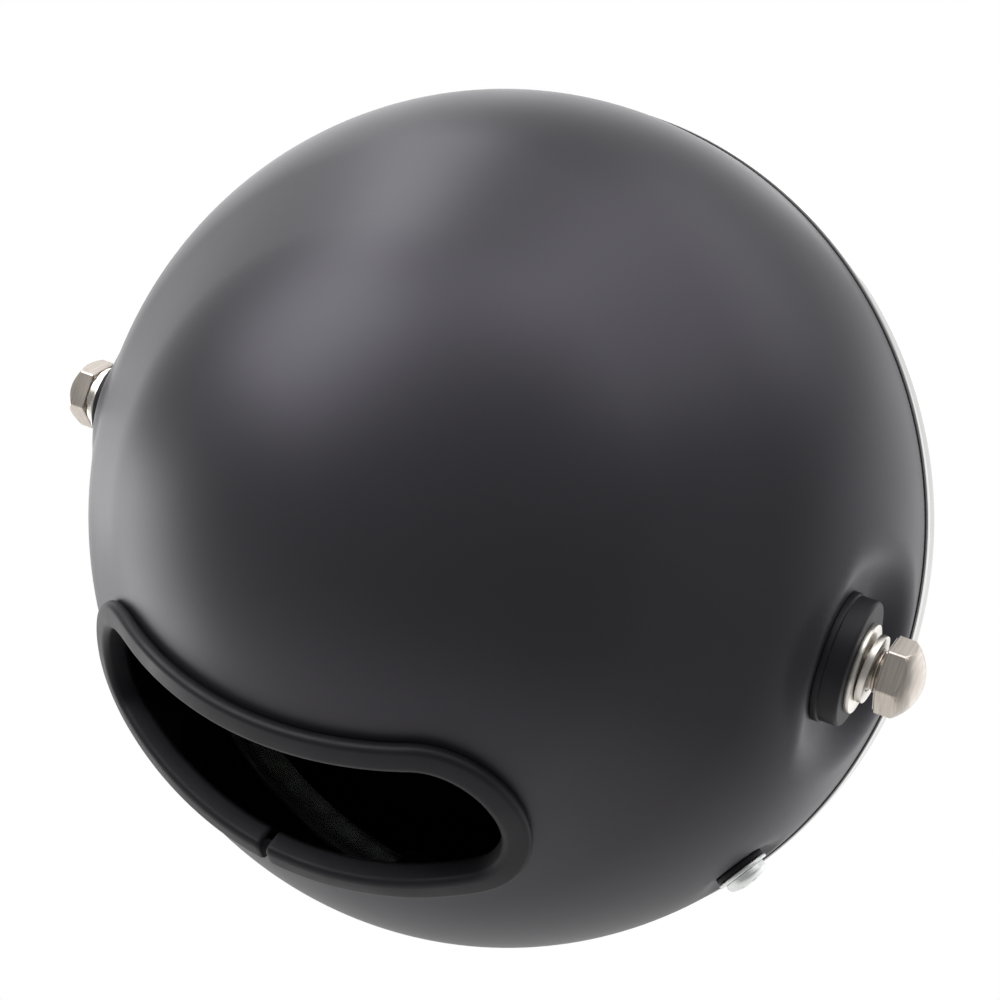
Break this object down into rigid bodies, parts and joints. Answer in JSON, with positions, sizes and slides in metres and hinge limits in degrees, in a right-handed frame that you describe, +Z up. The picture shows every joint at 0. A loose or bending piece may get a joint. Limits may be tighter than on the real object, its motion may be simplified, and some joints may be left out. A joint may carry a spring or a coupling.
{
  "type": "round motorcycle headlight",
  "caption": "Round motorcycle headlight with a black pressed bucket, chrome bezel, side mounting bolts on rubber washers and a bean-shaped wire opening edged with rubber.",
  "frame": {"origin": "where the lamp axis crosses the line of the two side bolts", "axes": "+X along the side bolts, towards the rider's left bolt; the lens faces -Y and the bucket's nose points to +Y; +Z up"},
  "size_m": [0.1911, 0.1148, 0.177],
  "materials": {
    "bucket_paint": "satin black paint",
    "trim_rubber": "smooth moulded rubber",
    "bezel_chrome": "polished chrome plate",
    "seal_rubber": "plain rubber",
    "lens_glass": "clear smooth glass",
    "reflector_metal": "aluminised inside, plain outside",
    "clip_steel": "plain spring steel",
    "bulb_glass": "clear glass",
    "filament_metal": "drawn wire",
    "bulb_base_metal": "plain pressed metal",
    "boot_rubber": "soft moulded rubber",
    "connector_plastic": "moulded plastic",
    "washer_rubber": "cut rubber",
    "zinc_steel": "dull zinc plate",
    "screw_zinc": "bright zinc plate",
    "bolt_nickel": "satin nickel plate"
  },
  "bodies": {
    "root": {"shell": "bucket_paint", "wire_opening_trim": "trim_rubber", "bezel": "bezel_chrome", "bezel_seal": "seal_rubber", "lens": "lens_glass", "lens_seal": "seal_rubber", "reflector": "reflector_metal", "unit_clip_top": "clip_steel", "unit_clip_bottom": "clip_steel", "unit_clip_left": "clip_steel", "unit_clip_right": "clip_steel", "bulb_glass": "bulb_glass", "bulb_filament": "filament_metal", "bulb_base": "bulb_base_metal", "bulb_retaining_ring": "clip_steel", "bulb_boot": "boot_rubber", "bulb_connector": "connector_plastic", "left_bolt": "bolt_nickel", "left_split_washer": "bolt_nickel", "left_flat_washer": "bolt_nickel", "left_rubber_washer": "washer_rubber", "left_weld_nut": "zinc_steel", "right_bolt": "bolt_nickel", "right_split_washer": "bolt_nickel", "right_flat_washer": "bolt_nickel", "right_rubber_washer": "washer_rubber", "right_weld_nut": "zinc_steel", "left_rim_screw": "screw_zinc", "left_rim_screw_washer": "screw_zinc", "left_rim_rubber_washer": "washer_rubber", "left_rim_bracket": "zinc_steel", "left_rim_nut": "zinc_steel", "right_rim_screw": "screw_zinc", "right_rim_screw_washer": "screw_zinc", "right_rim_rubber_washer": "washer_rubber", "right_rim_bracket": "zinc_steel", "right_rim_nut": "zinc_steel"}
  },
  "joints": []
}
